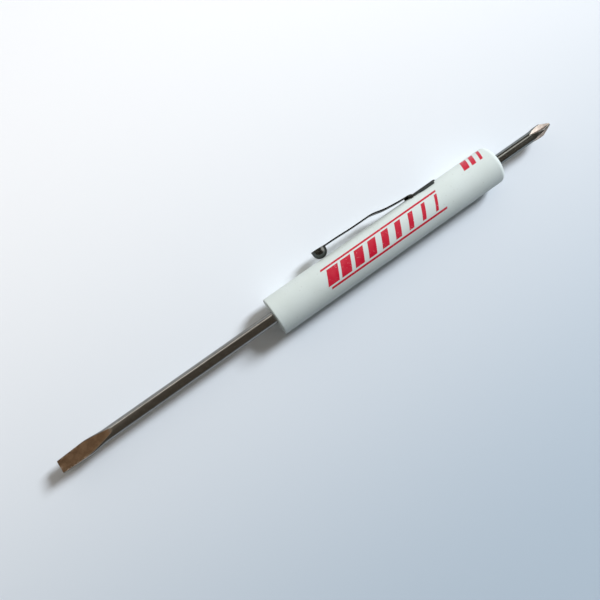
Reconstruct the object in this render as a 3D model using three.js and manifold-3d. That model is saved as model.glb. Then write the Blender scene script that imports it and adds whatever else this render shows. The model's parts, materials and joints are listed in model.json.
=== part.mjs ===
// A pocket screwdriver that lies on its side on a table: a round barrel that is moulded round a flat blade at
// its front end and round a short cross-point bit at its back end, with a spring-steel clip on its flank.
// Millimetres. X runs along the tool, from the flat blade to the cross point. Y points at the clip, Z is up.
// The origin is on the table, under the middle of the barrel.
import * as THREE from "three";
import { mergeVertices } from "three/addons/utils/BufferGeometryUtils.js";
import Module from "manifold-3d";

// Barrel, with its diameter measured across the sides of its many-sided surface, and with a narrow flat
// underneath on which it lies without rolling
const BARREL_DIAMETER = 11.1;
const BARREL_LENGTH = 74.8;
const BARREL_SIDES = 32;
const FRONT_EDGE_RADIUS = 0.3;
const BACK_EDGE_RADIUS = 1.5;
const REST_FLAT_WIDTH = 2.6;

// Flat blade: a round rod whose last stretch is forged wide and ground flat on both faces
const BLADE_DIAMETER = 3.5;
const BLADE_REACH = 68;
const BLADE_SEAT_DEPTH = 26;
const BLADE_TURN = 16;
const TIP_WIDTH = 3.7;
const TIP_THICKNESS = 0.7;
const WIDEST_WIDTH = 4.5;
const WIDEST_FROM_TIP = 8;
const FACE_LENGTH = 16.6;
const NECK_BEFORE_FACE_END = 2.1;
const FACE_CURVE_POWER = 1.8;

// Cross-point bit: a thinner rod, swelled at its end, with four flutes that a wheel has ground
const BIT_DIAMETER = 3.1;
const BIT_REACH = 20;
const BIT_SEAT_DEPTH = 17;
const BIT_TURN = 27;
const POINT_DIAMETER = 3.5;
const POINT_END_DIAMETER = 0.7;
const POINT_HALF_ANGLE = 25;
const SWELL_LENGTH = 4;
const SWELL_RAMP = 2.2;
const FLUTE_COUNT = 4;
const FLUTE_LENGTH = 7.9;
const FLUTE_CORE_RADIUS = 0.35;
const FLUTE_ANGLE = 104;

// Wings pinched out of each rod's hidden tail, which hold it in the barrel and stop it from turning
const WING_PROUD = 0.85;
const WING_THICKNESS = 1;
const WING_LENGTH = 8;
const WING_RAMP = 1.2;
const WING_FROM_TAIL = 3;
const TAIL_CHAMFER = 0.4;

// Clip base: a saddle on the barrel, with a tongue at its rear, and a step up to the strip and two ears
// at its front
const CLIP_REAR_FROM_BACK = 16.8;
const CLIP_THICKNESS = 0.36;
const TONGUE_LENGTH = 1;
const TONGUE_WIDTH = 1.8;
const SADDLE_LENGTH = 6.8;
const SADDLE_WIDTH = 5.8;
const SADDLE_WAIST_WIDTH = 4.9;
const SADDLE_CORNER_RADIUS = 0.7;
const STEP_LENGTH = 0.7;
const STEP_HEIGHT = 0.6;
const EAR_LENGTH = 2.2;
const PRONG_LENGTH = 1.1;
const PRONG_DEPTH = 1.4;

// Clip arm: each run goes from one bend of the strip to the next, and each height is that of the strip's
// middle above the barrel's surface
const ARM_WIDTH_AT_ROOT = 4.2;
const ARM_WIDTH_AT_BALL = 3.2;
const ROOT_HEIGHT = 0.8;
const KNEE_RUN = 5.7;
const KNEE_HEIGHT = 1.4;
const BEND_RUN = 5.3;
const BEND_HEIGHT = 2.2;
const LEVEL_RUN = 4.5;
const LEVEL_HEIGHT = 2.22;
const RISE_RUN = 6.5;
const RISE_HEIGHT = 2.53;
const BALL_RUN = 5.4;
const BALL_HEIGHT = 2.66;
const BALL_DIAMETER = 4.4;
const BALL_RIM_DIAMETER = 3.9;
const BALL_BELT_DROP = 0.6;
const BALL_TILT = 5;

// Clearances
const ROD_GAP = 0.2;
const SLOT_GAP = 0.2;
const SADDLE_GAP = 0.05;
const FLEX_GAP = 0.3;
const BALL_GAP = 0.15;

// Fineness of the faceted surfaces
const ROD_SIDES = 24;
const BALL_SIDES = 20;
const WHEEL_SIDES = 96;
const ARC_STEPS = 3;
const FACE_STEPS = 10;
const STRIP_STEPS = 6;

// Places that follow from the sizes above
const BARREL_RADIUS = BARREL_DIAMETER / 2;
const AXIS_HEIGHT = Math.sqrt(BARREL_RADIUS ** 2 - (REST_FLAT_WIDTH / 2) ** 2);
const BARREL_FRONT = -BARREL_LENGTH / 2;
const BARREL_BACK = BARREL_LENGTH / 2;
const BLADE_TIP = BARREL_FRONT - BLADE_REACH;
const BLADE_TAIL = BARREL_FRONT + BLADE_SEAT_DEPTH;
const BIT_TIP = BARREL_BACK + BIT_REACH;
const BIT_TAIL = BARREL_BACK - BIT_SEAT_DEPTH;
const BLADE_WINGS_START = BLADE_TAIL - WING_FROM_TAIL - WING_LENGTH;
const BIT_WINGS_START = BIT_TAIL + WING_FROM_TAIL;
const CLIP_REAR = BARREL_BACK - CLIP_REAR_FROM_BACK;
const SADDLE_REAR = CLIP_REAR - TONGUE_LENGTH;
const SADDLE_FRONT = SADDLE_REAR - SADDLE_LENGTH;
const STEP_FRONT = SADDLE_FRONT - STEP_LENGTH;
const BASE_FRONT = SADDLE_FRONT - EAR_LENGTH;
const ARM_ROOT = BASE_FRONT - FLEX_GAP;
const BALL_MIDDLE = ARM_ROOT - KNEE_RUN - BEND_RUN - LEVEL_RUN - RISE_RUN - BALL_RUN;
const BARREL_CORNER_RADIUS = BARREL_RADIUS / Math.cos(Math.PI / BARREL_SIDES);
const SADDLE_INNER_RADIUS = BARREL_CORNER_RADIUS + SADDLE_GAP;
const SADDLE_MIDDLE_RADIUS = SADDLE_INNER_RADIUS + CLIP_THICKNESS / 2;
const CUTTER_HEIGHT = 4 * BARREL_DIAMETER;

const wasm = await Module();
wasm.setup();

const plastic = new THREE.MeshStandardMaterial({ color: 0xdde6e4, roughness: 0.35, metalness: 0 });
const platedSteel = new THREE.MeshStandardMaterial({ color: 0x8f8a82, roughness: 0.25, metalness: 1 });
const springSteel = new THREE.MeshStandardMaterial({ color: 0x565c60, roughness: 0.35, metalness: 1 });

/** The closed solid that a geometry bounds, ready to be joined and cut. */
function solidOf(geometry) {
  const bare = geometry.clone();
  bare.deleteAttribute("normal");
  bare.deleteAttribute("uv");
  const merged = mergeVertices(bare);
  const corners = [];
  for (let first = 0; first < merged.index.count; first += 3) {
    const face = [0, 1, 2].map((step) => merged.index.getX(first + step));
    if (new Set(face).size === 3) corners.push(...face);
  }
  const vertProperties = Float32Array.from(merged.attributes.position.array);
  const triVerts = Uint32Array.from(corners);
  return new wasm.Manifold(new wasm.Mesh({ numProp: 3, vertProperties, triVerts }));
}

/** A named mesh of a finished solid. */
function meshOf(name, solid, material) {
  const { vertProperties, triVerts } = solid.getMesh();
  const geometry = new THREE.BufferGeometry();
  geometry.setAttribute("position", new THREE.BufferAttribute(vertProperties.slice(), 3));
  geometry.setIndex(new THREE.BufferAttribute(triVerts.slice(), 1));
  geometry.computeVertexNormals();
  const mesh = new THREE.Mesh(geometry, material);
  mesh.name = name;
  return mesh;
}

/** A body turned about the X axis from a path of (radius to a flat, place along X). */
function turned(path, sides) {
  const flatToCorner = 1 / Math.cos(Math.PI / sides);
  const profile = path.getPoints(ARC_STEPS);
  profile.forEach((point) => point.setX(point.x * flatToCorner));
  return new THREE.LatheGeometry(profile, sides, Math.PI / sides).rotateZ(-Math.PI / 2);
}

/** A shape in the XY plane made a plate that is centred on that plane. */
function plate(shape, thickness) {
  const options = { depth: thickness, bevelEnabled: false, curveSegments: 2 * ARC_STEPS };
  return new THREE.ExtrudeGeometry(shape, options).translate(0, 0, -thickness / 2);
}

/** A block between two corners. */
function block(low, high) {
  const size = high.clone().sub(low);
  const middle = low.clone().add(high).multiplyScalar(0.5);
  return new THREE.BoxGeometry(size.x, size.y, size.z).translate(middle.x, middle.y, middle.z);
}

/** A closed body through a row of convex outlines that have the same number of points. */
function lofted(outlines) {
  const count = outlines[0].length;
  const faces = [];
  for (let row = 0; row + 1 < outlines.length; row += 1) {
    for (let here = 0; here < count; here += 1) {
      const next = (here + 1) % count;
      const [a, b] = [row * count + here, row * count + next];
      faces.push(a, b, a + count, b, b + count, a + count);
    }
  }
  const last = (outlines.length - 1) * count;
  for (let here = 1; here + 1 < count; here += 1) {
    faces.push(0, here + 1, here, last, last + here, last + here + 1);
  }
  const geometry = new THREE.BufferGeometry().setFromPoints(outlines.flat());
  return geometry.setIndex(faces);
}

/** The two wings of a rod's tail, as one flat plate through the rod, between two places along X. */
function wings(rodDiameter, start, end) {
  const [low, high] = [rodDiameter / 2 - WING_PROUD, rodDiameter / 2 + WING_PROUD];
  const shape = new THREE.Shape();
  shape.moveTo(start, -low);
  shape.lineTo(start + WING_RAMP, -high);
  shape.lineTo(end - WING_RAMP, -high);
  shape.lineTo(end, -low);
  shape.lineTo(end, low);
  shape.lineTo(end - WING_RAMP, high);
  shape.lineTo(start + WING_RAMP, high);
  shape.lineTo(start, low);
  return plate(shape, WING_THICKNESS);
}

/** The pocket in the barrel round a rod's wings, which lie between two places along X. */
function wingPocket(rodDiameter, start, end, turn) {
  const half = rodDiameter / 2 + WING_PROUD + ROD_GAP;
  const halfThickness = WING_THICKNESS / 2 + ROD_GAP;
  const low = new THREE.Vector3(start - ROD_GAP, -half, -halfThickness);
  const high = new THREE.Vector3(end + ROD_GAP, half, halfThickness);
  return block(low, high).rotateX(-THREE.MathUtils.degToRad(turn));
}

/** The outline of the blade at one place: a round rod that is squeezed wide and ground flat on two faces. */
function bladeOutline(along, diameter, width, thickness) {
  const sideSteps = Math.round(ROD_SIDES / 2) - 1;
  const cornerRadius = diameter / 2 / Math.cos(Math.PI / ROD_SIDES);
  const faceEdge = Math.asin(thickness / 2 / cornerRadius);
  const halfWidth = width / 2 / Math.cos(faceEdge / sideSteps);
  const points = [];
  for (const side of [1, -1]) {
    for (let step = 0; step <= sideSteps; step += 1) {
      const angle = faceEdge * ((2 * step) / sideSteps - 1);
      const across = side * halfWidth * Math.cos(angle);
      points.push(new THREE.Vector3(along, across, side * cornerRadius * Math.sin(angle)));
    }
  }
  return points;
}

/** The blade's width at a distance from its tip. */
function bladeWidth(fromTip) {
  if (fromTip < WIDEST_FROM_TIP) {
    return THREE.MathUtils.lerp(TIP_WIDTH, WIDEST_WIDTH, fromTip / WIDEST_FROM_TIP);
  }
  const eased = THREE.MathUtils.smoothstep(fromTip, WIDEST_FROM_TIP, FACE_LENGTH - NECK_BEFORE_FACE_END);
  return THREE.MathUtils.lerp(WIDEST_WIDTH, BLADE_DIAMETER, eased);
}

/** The blade's thickness at a distance from its tip, which grows along a hollow-ground curve. */
function bladeThickness(fromTip) {
  const share = Math.min(fromTip / FACE_LENGTH, 1) ** FACE_CURVE_POWER;
  return THREE.MathUtils.lerp(TIP_THICKNESS, BLADE_DIAMETER, share);
}

/** The flat blade, with its tail in the barrel. */
function flatBlade() {
  const outlines = [];
  const stretches = [[0, WIDEST_FROM_TIP], [WIDEST_FROM_TIP, FACE_LENGTH]];
  for (const [start, end] of stretches) {
    for (let step = 0; step < FACE_STEPS; step += 1) {
      const fromTip = THREE.MathUtils.lerp(start, end, step / FACE_STEPS);
      const [width, thickness] = [bladeWidth(fromTip), bladeThickness(fromTip)];
      outlines.push(bladeOutline(BLADE_TIP + fromTip, BLADE_DIAMETER, width, thickness));
    }
  }
  const tailDiameter = BLADE_DIAMETER - 2 * TAIL_CHAMFER;
  const rounds = [
    [BLADE_TIP + FACE_LENGTH, BLADE_DIAMETER],
    [BLADE_TAIL - TAIL_CHAMFER, BLADE_DIAMETER],
    [BLADE_TAIL, tailDiameter],
  ];
  for (const [along, diameter] of rounds) outlines.push(bladeOutline(along, diameter, diameter, diameter));
  const tailWings = wings(BLADE_DIAMETER, BLADE_WINGS_START, BLADE_WINGS_START + WING_LENGTH);
  const mesh = meshOf("flat_blade", solidOf(lofted(outlines)).add(solidOf(tailWings)), platedSteel);
  mesh.rotation.x = -THREE.MathUtils.degToRad(BLADE_TURN);
  return mesh;
}

/** The wheel that grinds one flute, in place over the cross point, with its rim towards the bit's axis. */
function fluteWheel() {
  const sagitta = POINT_DIAMETER / 2 - FLUTE_CORE_RADIUS;
  const radius = (FLUTE_LENGTH ** 2 + sagitta ** 2) / (2 * sagitta);
  const rimDepth = POINT_DIAMETER;
  const halfWidth = rimDepth * Math.tan(THREE.MathUtils.degToRad(FLUTE_ANGLE / 2));
  const profile = [
    new THREE.Vector2(0, -halfWidth),
    new THREE.Vector2(radius - rimDepth, -halfWidth),
    new THREE.Vector2(radius, 0),
    new THREE.Vector2(radius - rimDepth, halfWidth),
    new THREE.Vector2(0, halfWidth),
  ];
  const wheel = new THREE.LatheGeometry(profile, WHEEL_SIDES);
  return wheel.translate(BIT_TIP, 0, FLUTE_CORE_RADIUS + radius);
}

/** The cross-point bit, with its tail in the barrel. */
function crossPointBit() {
  const radius = BIT_DIAMETER / 2;
  const pointRadius = POINT_DIAMETER / 2;
  const endRadius = POINT_END_DIAMETER / 2;
  const coneLength = (pointRadius - endRadius) / Math.tan(THREE.MathUtils.degToRad(POINT_HALF_ANGLE));
  const swellStart = BIT_TIP - coneLength - SWELL_LENGTH;
  const path = new THREE.Path();
  path.moveTo(0, BIT_TAIL);
  path.lineTo(radius - TAIL_CHAMFER, BIT_TAIL);
  path.lineTo(radius, BIT_TAIL + TAIL_CHAMFER);
  path.lineTo(radius, swellStart);
  path.lineTo(pointRadius, swellStart + SWELL_RAMP);
  path.lineTo(pointRadius, BIT_TIP - coneLength);
  path.lineTo(endRadius, BIT_TIP);
  path.lineTo(0, BIT_TIP);
  const tailWings = wings(BIT_DIAMETER, BIT_WINGS_START, BIT_WINGS_START + WING_LENGTH);
  let bit = solidOf(turned(path, ROD_SIDES)).add(solidOf(tailWings));
  for (let flute = 0; flute < FLUTE_COUNT; flute += 1) {
    bit = bit.subtract(solidOf(fluteWheel().rotateX((2 * Math.PI * flute) / FLUTE_COUNT)));
  }
  const mesh = meshOf("cross_point_bit", bit, platedSteel);
  mesh.rotation.x = -THREE.MathUtils.degToRad(BIT_TURN);
  return mesh;
}

/** How far the barrel's surface lies from the plane of its axis, at a place across the clip. */
function barrelSurface(across) {
  return Math.sqrt(BARREL_CORNER_RADIUS ** 2 - across ** 2);
}

/** The place across the clip of the middle of an ear's sheet. */
function earMiddle() {
  return ARM_WIDTH_AT_ROOT / 2 - CLIP_THICKNESS / 2;
}

/** Where an ear rests on the barrel, just above the surface under its inner face. */
function earSeat() {
  return barrelSurface(earMiddle() - CLIP_THICKNESS / 2) + SADDLE_GAP;
}

/** The clip's side outline: a line of points given the sheet's thickness, as a shape in the XY plane. */
function stripShape(points) {
  const half = CLIP_THICKNESS / 2;
  const shape = new THREE.Shape();
  const [first, ...rest] = points;
  shape.moveTo(first.x, first.y + half);
  rest.forEach((point) => shape.lineTo(point.x, point.y + half));
  [...points].reverse().forEach((point) => shape.lineTo(point.x, point.y - half));
  return shape;
}

/** A cutter taller than the whole clip, from a shape seen from the clip's outer side. */
function planCutter(shape) {
  return plate(shape, CUTTER_HEIGHT).rotateX(Math.PI / 2);
}

/** The saddle's outline seen from its outer side: a waist near the front, round corners and the tongue. */
function saddlePlan() {
  const [half, waist, tongue] = [SADDLE_WIDTH / 2, SADDLE_WAIST_WIDTH / 2, TONGUE_WIDTH / 2];
  const bulge = SADDLE_REAR - SADDLE_LENGTH / 2;
  const corner = SADDLE_REAR - SADDLE_CORNER_RADIUS;
  const shape = new THREE.Shape();
  shape.moveTo(SADDLE_FRONT, -waist);
  shape.bezierCurveTo(bulge, -waist, SADDLE_FRONT, -half, bulge, -half);
  shape.absarc(corner, SADDLE_CORNER_RADIUS - half, SADDLE_CORNER_RADIUS, -Math.PI / 2, 0, false);
  shape.lineTo(SADDLE_REAR, -tongue);
  shape.lineTo(CLIP_REAR, -tongue);
  shape.lineTo(CLIP_REAR, tongue);
  shape.lineTo(SADDLE_REAR, tongue);
  shape.absarc(corner, half - SADDLE_CORNER_RADIUS, SADDLE_CORNER_RADIUS, 0, Math.PI / 2, false);
  shape.lineTo(bulge, half);
  shape.bezierCurveTo(SADDLE_FRONT, half, bulge, waist, SADDLE_FRONT, waist);
  return shape;
}

/** The saddle and its tongue: sheet that is rolled to lie on the barrel. */
function saddle() {
  const halfAngle = Math.asin(SADDLE_WIDTH / 2 / SADDLE_INNER_RADIUS);
  const [start, end] = [Math.PI / 2 - halfAngle, Math.PI / 2 + halfAngle];
  const section = new THREE.Shape();
  section.absarc(0, 0, SADDLE_INNER_RADIUS + CLIP_THICKNESS, start, end, false);
  section.absarc(0, 0, SADDLE_INNER_RADIUS, end, start, true);
  const middle = (SADDLE_FRONT + CLIP_REAR) / 2;
  const rolled = plate(section, CLIP_REAR - SADDLE_FRONT).rotateY(Math.PI / 2).translate(middle, 0, 0);
  return solidOf(rolled).intersect(solidOf(planCutter(saddlePlan())));
}

/** One ear of the clip's base, bent down from the strip's edge, with its prong in the barrel. */
function ear(side) {
  const low = earSeat() - PRONG_DEPTH;
  const heel = SADDLE_FRONT - PRONG_LENGTH;
  const shape = new THREE.Shape();
  shape.moveTo(BASE_FRONT, BARREL_RADIUS + ROOT_HEIGHT);
  shape.lineTo(BASE_FRONT, BARREL_RADIUS);
  shape.lineTo(heel, earSeat());
  shape.lineTo(heel, low);
  shape.lineTo(SADDLE_FRONT, low);
  shape.lineTo(SADDLE_FRONT, SADDLE_MIDDLE_RADIUS);
  shape.lineTo(STEP_FRONT, BARREL_RADIUS + STEP_HEIGHT);
  return plate(shape, CLIP_THICKNESS).translate(0, 0, side * earMiddle());
}

/** The prong that is bent down from the end of the tongue into the barrel. */
function tongueProng() {
  const low = new THREE.Vector3(CLIP_REAR - CLIP_THICKNESS, BARREL_RADIUS - PRONG_DEPTH, -TONGUE_WIDTH / 2);
  const high = new THREE.Vector3(CLIP_REAR, SADDLE_MIDDLE_RADIUS, TONGUE_WIDTH / 2);
  return block(low, high);
}

/** The part of the clip that stays on the barrel: saddle, rear tongue, step and two ears. */
function clipBase() {
  const step = stripShape([
    new THREE.Vector2(BASE_FRONT, BARREL_RADIUS + ROOT_HEIGHT),
    new THREE.Vector2(STEP_FRONT, BARREL_RADIUS + STEP_HEIGHT),
    new THREE.Vector2(SADDLE_FRONT, SADDLE_MIDDLE_RADIUS),
    new THREE.Vector2(SADDLE_FRONT + CLIP_THICKNESS, SADDLE_MIDDLE_RADIUS),
  ]);
  const joined = [plate(step, ARM_WIDTH_AT_ROOT), tongueProng(), ear(1), ear(-1)];
  const base = joined.reduce((whole, piece) => whole.add(solidOf(piece)), saddle());
  return meshOf("clip_base", base, springSteel);
}

/** The ball's outer shape, or its hollow's where a wall is given, in place at the end of the arm. */
function ballSolid(wall, aboveRim) {
  const depth = BALL_HEIGHT + CLIP_THICKNESS / 2 - BALL_GAP - wall;
  const [belt, rim] = [BALL_DIAMETER / 2 - wall, BALL_RIM_DIAMETER / 2 - wall];
  const path = new THREE.Path();
  path.absellipse(0, -BALL_BELT_DROP, belt, depth - BALL_BELT_DROP, -Math.PI / 2, 0, false);
  path.quadraticCurveTo(belt, -BALL_BELT_DROP / 3, rim, 0);
  path.lineTo(rim, aboveRim);
  path.lineTo(0, aboveRim);
  const ball = new THREE.LatheGeometry(path.getPoints(ARC_STEPS), BALL_SIDES);
  ball.rotateZ(-THREE.MathUtils.degToRad(BALL_TILT));
  return solidOf(ball.translate(BALL_MIDDLE, BARREL_RADIUS + BALL_HEIGHT + CLIP_THICKNESS / 2, 0));
}

/** The part of the clip that springs: the strip, with its bends, and the hollow pressed ball at its end. */
function clipArm() {
  const bends = [
    [0, ROOT_HEIGHT],
    [KNEE_RUN, KNEE_HEIGHT],
    [BEND_RUN, BEND_HEIGHT],
    [LEVEL_RUN, LEVEL_HEIGHT],
    [RISE_RUN, RISE_HEIGHT],
    [BALL_RUN, BALL_HEIGHT],
  ];
  let along = ARM_ROOT;
  const points = bends.map(([run, height]) => {
    along -= run;
    return new THREE.Vector2(along, BARREL_RADIUS + height);
  });
  const side = stripShape(new THREE.SplineCurve(points).getPoints(STRIP_STEPS * bends.length));
  const [rootHalf, ballHalf] = [ARM_WIDTH_AT_ROOT / 2, ARM_WIDTH_AT_BALL / 2];
  const plan = new THREE.Shape();
  plan.moveTo(ARM_ROOT, -rootHalf);
  plan.lineTo(ARM_ROOT, rootHalf);
  plan.lineTo(BALL_MIDDLE, ballHalf);
  plan.lineTo(BALL_MIDDLE, -ballHalf);
  const strip = solidOf(plate(side, ARM_WIDTH_AT_ROOT)).intersect(solidOf(planCutter(plan)));
  const arm = strip.add(ballSolid(0, 0)).subtract(ballSolid(CLIP_THICKNESS, BALL_HEIGHT));
  return meshOf("clip_arm", arm, springSteel);
}

/** The slots that the clip's two prongs and its tongue are pressed into. */
function clipSlots() {
  const slots = [];
  const half = CLIP_THICKNESS / 2 + SLOT_GAP;
  for (const side of [1, -1]) {
    const middle = side * earMiddle();
    const bottom = earSeat() - PRONG_DEPTH - SLOT_GAP;
    const low = new THREE.Vector3(SADDLE_FRONT - PRONG_LENGTH - SLOT_GAP, bottom, middle - half);
    const high = new THREE.Vector3(SADDLE_FRONT + SLOT_GAP, BARREL_DIAMETER, middle + half);
    slots.push(block(low, high));
  }
  const tongueHalf = TONGUE_WIDTH / 2 + SLOT_GAP;
  const bottom = BARREL_RADIUS - PRONG_DEPTH - SLOT_GAP;
  const low = new THREE.Vector3(CLIP_REAR - CLIP_THICKNESS - SLOT_GAP, bottom, -tongueHalf);
  const high = new THREE.Vector3(CLIP_REAR + SLOT_GAP, BARREL_DIAMETER, tongueHalf);
  slots.push(block(low, high));
  return slots;
}

/** What is cut off the barrel's underside to leave the flat that it lies on. */
function underside() {
  const low = new THREE.Vector3(-BARREL_LENGTH, -BARREL_DIAMETER, -BARREL_DIAMETER);
  const high = new THREE.Vector3(BARREL_LENGTH, BARREL_DIAMETER, -AXIS_HEIGHT);
  return block(low, high);
}

/** The barrel: a turned body with a hole and a wing pocket for each rod, the clip's slots and a flat. */
function barrel() {
  const bladeHole = BLADE_DIAMETER / 2 + ROD_GAP;
  const bitHole = BIT_DIAMETER / 2 + ROD_GAP;
  const bladeHoleEnd = BLADE_TAIL + ROD_GAP;
  const bitHoleEnd = BIT_TAIL - ROD_GAP;
  const frontRound = BARREL_FRONT + FRONT_EDGE_RADIUS;
  const backRound = BARREL_BACK - BACK_EDGE_RADIUS;
  const path = new THREE.Path();
  path.moveTo(0, bladeHoleEnd);
  path.lineTo(bladeHole, bladeHoleEnd);
  path.lineTo(bladeHole, BARREL_FRONT);
  path.absarc(BARREL_RADIUS - FRONT_EDGE_RADIUS, frontRound, FRONT_EDGE_RADIUS, -Math.PI / 2, 0, false);
  path.absarc(BARREL_RADIUS - BACK_EDGE_RADIUS, backRound, BACK_EDGE_RADIUS, 0, Math.PI / 2, false);
  path.lineTo(bitHole, BARREL_BACK);
  path.lineTo(bitHole, bitHoleEnd);
  path.lineTo(0, bitHoleEnd);
  const cuts = [
    wingPocket(BLADE_DIAMETER, BLADE_WINGS_START, BLADE_WINGS_START + WING_LENGTH, BLADE_TURN),
    wingPocket(BIT_DIAMETER, BIT_WINGS_START, BIT_WINGS_START + WING_LENGTH, BIT_TURN),
    ...clipSlots(),
    underside(),
  ];
  const body = cuts.reduce((left, cut) => left.subtract(solidOf(cut)), solidOf(turned(path, BARREL_SIDES)));
  return meshOf("barrel", body, plastic);
}

const screwdriver = new THREE.Group();
screwdriver.add(barrel(), flatBlade(), crossPointBit(), clipBase(), clipArm());
screwdriver.position.z = AXIS_HEIGHT;

export default screwdriver;
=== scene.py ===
"""Looks of a pocket screwdriver: smooth meshes, finishes, print, floor, light and camera.

Lengths are in metres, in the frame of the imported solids: X runs along the tool from the flat blade to the
cross point, Y points at the clip and Z is up from the table. Each piece stands where its solid stands.
"""

import json
import logging
import math
from dataclasses import dataclass
from enum import Enum

import bmesh
import bpy
import numpy as np
from mathutils import Matrix, Vector


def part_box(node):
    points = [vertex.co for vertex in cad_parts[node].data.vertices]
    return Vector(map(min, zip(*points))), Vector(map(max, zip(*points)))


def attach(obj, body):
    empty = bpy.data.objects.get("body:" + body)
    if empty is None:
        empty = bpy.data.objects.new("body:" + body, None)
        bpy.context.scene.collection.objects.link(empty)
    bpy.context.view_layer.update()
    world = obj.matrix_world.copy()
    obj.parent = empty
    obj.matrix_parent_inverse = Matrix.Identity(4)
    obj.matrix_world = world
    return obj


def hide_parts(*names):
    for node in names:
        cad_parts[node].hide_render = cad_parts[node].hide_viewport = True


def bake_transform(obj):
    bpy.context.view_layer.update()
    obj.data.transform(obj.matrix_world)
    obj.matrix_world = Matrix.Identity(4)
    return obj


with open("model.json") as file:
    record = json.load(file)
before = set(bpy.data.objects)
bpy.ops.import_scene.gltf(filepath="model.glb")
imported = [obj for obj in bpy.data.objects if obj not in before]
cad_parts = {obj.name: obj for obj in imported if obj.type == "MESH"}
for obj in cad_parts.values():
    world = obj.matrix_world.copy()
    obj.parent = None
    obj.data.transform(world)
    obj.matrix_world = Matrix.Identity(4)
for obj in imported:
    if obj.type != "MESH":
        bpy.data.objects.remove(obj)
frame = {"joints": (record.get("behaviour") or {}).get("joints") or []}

LOG = logging.getLogger("pocket_screwdriver")
MM = 0.001
IMAGE_SIZE = 600
SENSOR_WIDTH = 36.0
NEAREST_SEEN = 0.01
MERGE_DISTANCE = 1e-7
SMOOTH_ANGLE = 38.0

# Points of one printed bar along the barrel, round it and through the ink
BAR_GRID = {"Vertices X": 4, "Vertices Y": 25, "Vertices Z": 2}

# Short names for the types that the hints use most
Colour = tuple[float, float, float]
Direction = tuple[float, float, float]
Span = tuple[float, float]
Points = list[tuple[float, float]]
Tree = bpy.types.NodeTree
Node = bpy.types.Node
Socket = bpy.types.NodeSocket
Mesh = bpy.types.Mesh
Material = bpy.types.Material
Piece = bpy.types.Object


class Body(Enum):
    """The bodies that pieces ride on."""

    HANDLE = "handle"
    CLIP = "clip"


class Slot(Enum):
    """The record's material slots."""

    BARREL = "barrel_plastic"
    RODS = "plated_steel"
    CLIP = "spring_steel"


class Kind(Enum):
    """The kinds of sockets that node groups have."""

    GEOMETRY = "NodeSocketGeometry"
    COUNT = "NodeSocketInt"
    NUMBER = "NodeSocketFloat"
    VECTOR = "NodeSocketVector"
    FINISH = "NodeSocketMaterial"


@dataclass(frozen=True)
class Places:
    """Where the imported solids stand, read from the frame once."""

    barrel_front: float
    barrel_back: float
    barrel_radius: float
    axis_height: float
    blade_tip: float
    blade_tail: float
    bit_tip: float
    bit_tail: float
    clip_rear: float
    hinge_out: float

    @classmethod
    def from_frame(cls) -> "Places":
        """Reads the boxes of the solids and the clip's joint.

        Returns:
            The places that the pieces are built from.
        """
        low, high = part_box("barrel")
        blade_low, blade_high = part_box("flat_blade")
        bit_low, bit_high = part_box("cross_point_bit")
        return cls(
            barrel_front=low.x,
            barrel_back=high.x,
            barrel_radius=high.y,
            axis_height=high.z - high.y,
            blade_tip=blade_low.x,
            blade_tail=blade_high.x,
            bit_tip=bit_high.x,
            bit_tail=bit_low.x,
            clip_rear=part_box("clip_base")[1].x,
            hinge_out=frame["joints"][0]["pos_m"][1],
        )


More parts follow.
